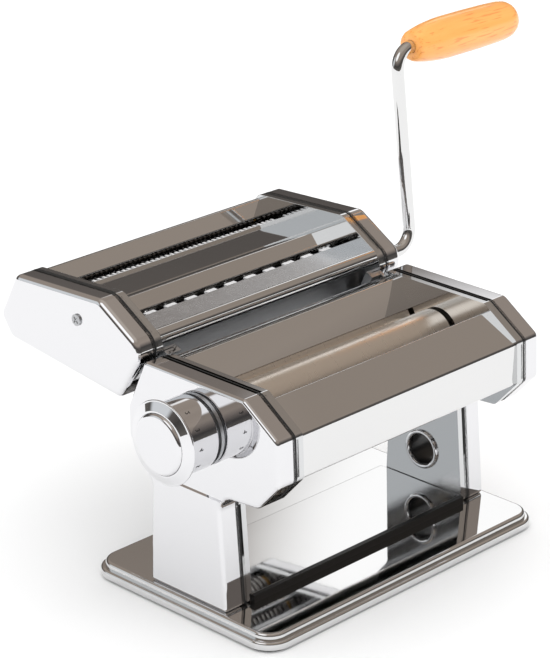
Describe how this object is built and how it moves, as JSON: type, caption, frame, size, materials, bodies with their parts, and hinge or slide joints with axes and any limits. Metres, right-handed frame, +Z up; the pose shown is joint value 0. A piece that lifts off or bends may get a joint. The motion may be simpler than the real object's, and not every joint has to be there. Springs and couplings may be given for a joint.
{
  "type": "pasta roller machine",
  "caption": "Table-top pasta machine: two smooth rollers set by a dial, over legs on a flat base, with a lift-off double cutting head and a bent crank with a wooden grip.",
  "frame": {"origin": "middle of the base, on the surface it stands on", "axes": "+X along the rollers towards the crank, +Y towards the back where the cutting head hangs, +Z up"},
  "size_m": [0.3396, 0.1966, 0.2379],
  "materials": {
    "polished_steel": "mirror-polished chromed steel sheet",
    "roller_steel": "smooth plated steel",
    "cutter_steel": "turned steel",
    "plain_steel": "plain zinc-plated steel",
    "bronze": "sintered bronze",
    "rubber": "matt black rubber",
    "black_plastic": "gloss black plastic",
    "wood": "clear-lacquered orange beech"
  },
  "bodies": {
    "frame": {"base_plate": "polished_steel", "base_pad": "rubber", "cross_plate": "polished_steel", "front_strip": "black_plastic", "foot_bolts": "plain_steel", "left_side_plate": "polished_steel", "right_side_plate": "polished_steel", "left_cover": "polished_steel", "right_cover": "polished_steel", "front_sheet": "polished_steel", "hopper_sheet": "polished_steel", "rear_panel": "polished_steel", "tie_rods": "plain_steel", "tie_screws": "plain_steel", "rear_scraper": "plain_steel", "roller_bushes": "bronze", "clamp_ferrule": "polished_steel", "guide_strips": "plain_steel", "index_plate": "plain_steel", "cutter_rails": "plain_steel"},
    "drive_roller": {"rear_roller": "roller_steel", "rear_roller_gear": "plain_steel"},
    "roller_carriage": {"left_bearing_block": "plain_steel", "right_bearing_block": "plain_steel", "follower_pin": "plain_steel", "carriage_bar": "plain_steel", "front_scraper": "plain_steel"},
    "adjusted_roller": {"front_roller": "roller_steel", "front_roller_gear": "plain_steel"},
    "dial": {"dial_shaft": "plain_steel", "spiral_cam": "plain_steel", "dial_spring": "plain_steel"},
    "knob": {"dial_knob": "polished_steel", "dial_cap": "polished_steel", "dial_lock_pin": "plain_steel"},
    "cutting_head": {"cutter_left_plate": "polished_steel", "cutter_right_plate": "polished_steel", "cutter_left_cover": "polished_steel", "cutter_right_cover": "polished_steel", "cutter_front_bar": "polished_steel", "cutter_rear_sheet": "polished_steel", "cutter_middle_sheet": "polished_steel", "wide_comb": "polished_steel", "narrow_comb": "polished_steel", "cutter_strippers": "plain_steel", "cutter_tie_rods": "plain_steel", "cutter_screws": "plain_steel", "cutter_bushes": "bronze", "cutter_hooks": "plain_steel"},
    "wide_drive_cutter": {"wide_front_cutter": "cutter_steel", "wide_front_gear": "plain_steel"},
    "wide_idle_cutter": {"wide_rear_cutter": "cutter_steel", "wide_rear_gear": "plain_steel"},
    "narrow_drive_cutter": {"narrow_front_cutter": "cutter_steel", "narrow_front_gear": "plain_steel"},
    "narrow_idle_cutter": {"narrow_rear_cutter": "cutter_steel", "narrow_rear_gear": "plain_steel"},
    "crank": {"crank_rod": "polished_steel", "crank_dog_pin": "plain_steel"},
    "grip": {"crank_grip": "wood"}
  },
  "joints": [
    {"name": "drive_roller_spin", "type": "hinge", "parent": "frame", "child": "drive_roller", "pos_m": [0, 0.0195, 0.1], "axis": [1, 0, 0], "continuous": true},
    {"name": "dial_turn", "type": "hinge", "parent": "frame", "child": "dial", "pos_m": [0, -0.0087, 0.1], "axis": [1, 0, 0], "range_deg": [0, 240]},
    {"name": "dial_press", "type": "slide", "parent": "dial", "child": "knob", "axis": [1, 0, 0], "range_m": [0, 0.0015]},
    {"name": "roller_approach", "type": "slide", "parent": "frame", "child": "roller_carriage", "axis": [0, 1, 0], "range_m": [0, 0.002]},
    {"name": "adjusted_roller_spin", "type": "hinge", "parent": "roller_carriage", "child": "adjusted_roller", "pos_m": [0, -0.0087, 0.1], "axis": [1, 0, 0], "continuous": true},
    {"name": "cutting_head_lift", "type": "slide", "parent": "frame", "child": "cutting_head", "axis": [0, -0.4125, 0.911], "range_m": [0, 0.045]},
    {"name": "wide_drive_spin", "type": "hinge", "parent": "cutting_head", "child": "wide_drive_cutter", "pos_m": [0, 0.0515, 0.1197], "axis": [1, 0, 0], "continuous": true},
    {"name": "wide_idle_spin", "type": "hinge", "parent": "cutting_head", "child": "wide_idle_cutter", "pos_m": [0, 0.0675, 0.1197], "axis": [1, 0, 0], "continuous": true},
    {"name": "narrow_drive_spin", "type": "hinge", "parent": "cutting_head", "child": "narrow_drive_cutter", "pos_m": [0, 0.101, 0.12], "axis": [1, 0, 0], "continuous": true},
    {"name": "narrow_idle_spin", "type": "hinge", "parent": "cutting_head", "child": "narrow_idle_cutter", "pos_m": [0, 0.117, 0.12], "axis": [1, 0, 0], "continuous": true},
    {"name": "crank_pull", "type": "slide", "parent": "wide_drive_cutter", "child": "crank", "axis": [1, 0, 0], "range_m": [0, 0.025]},
    {"name": "grip_spin", "type": "hinge", "parent": "crank", "child": "grip", "pos_m": [0, 0.06423, 0.22644], "axis": [1, 0, 0], "continuous": true}
  ],
  "couplings": [
    {"joint": "dial_turn", "follows": "roller_approach", "rad_per_m": 2094.4},
    {"joint": "adjusted_roller_spin", "follows": "drive_roller_spin", "ratio": -1},
    {"joint": "wide_idle_spin", "follows": "wide_drive_spin", "ratio": -1},
    {"joint": "narrow_idle_spin", "follows": "narrow_drive_spin", "ratio": -1}
  ]
}
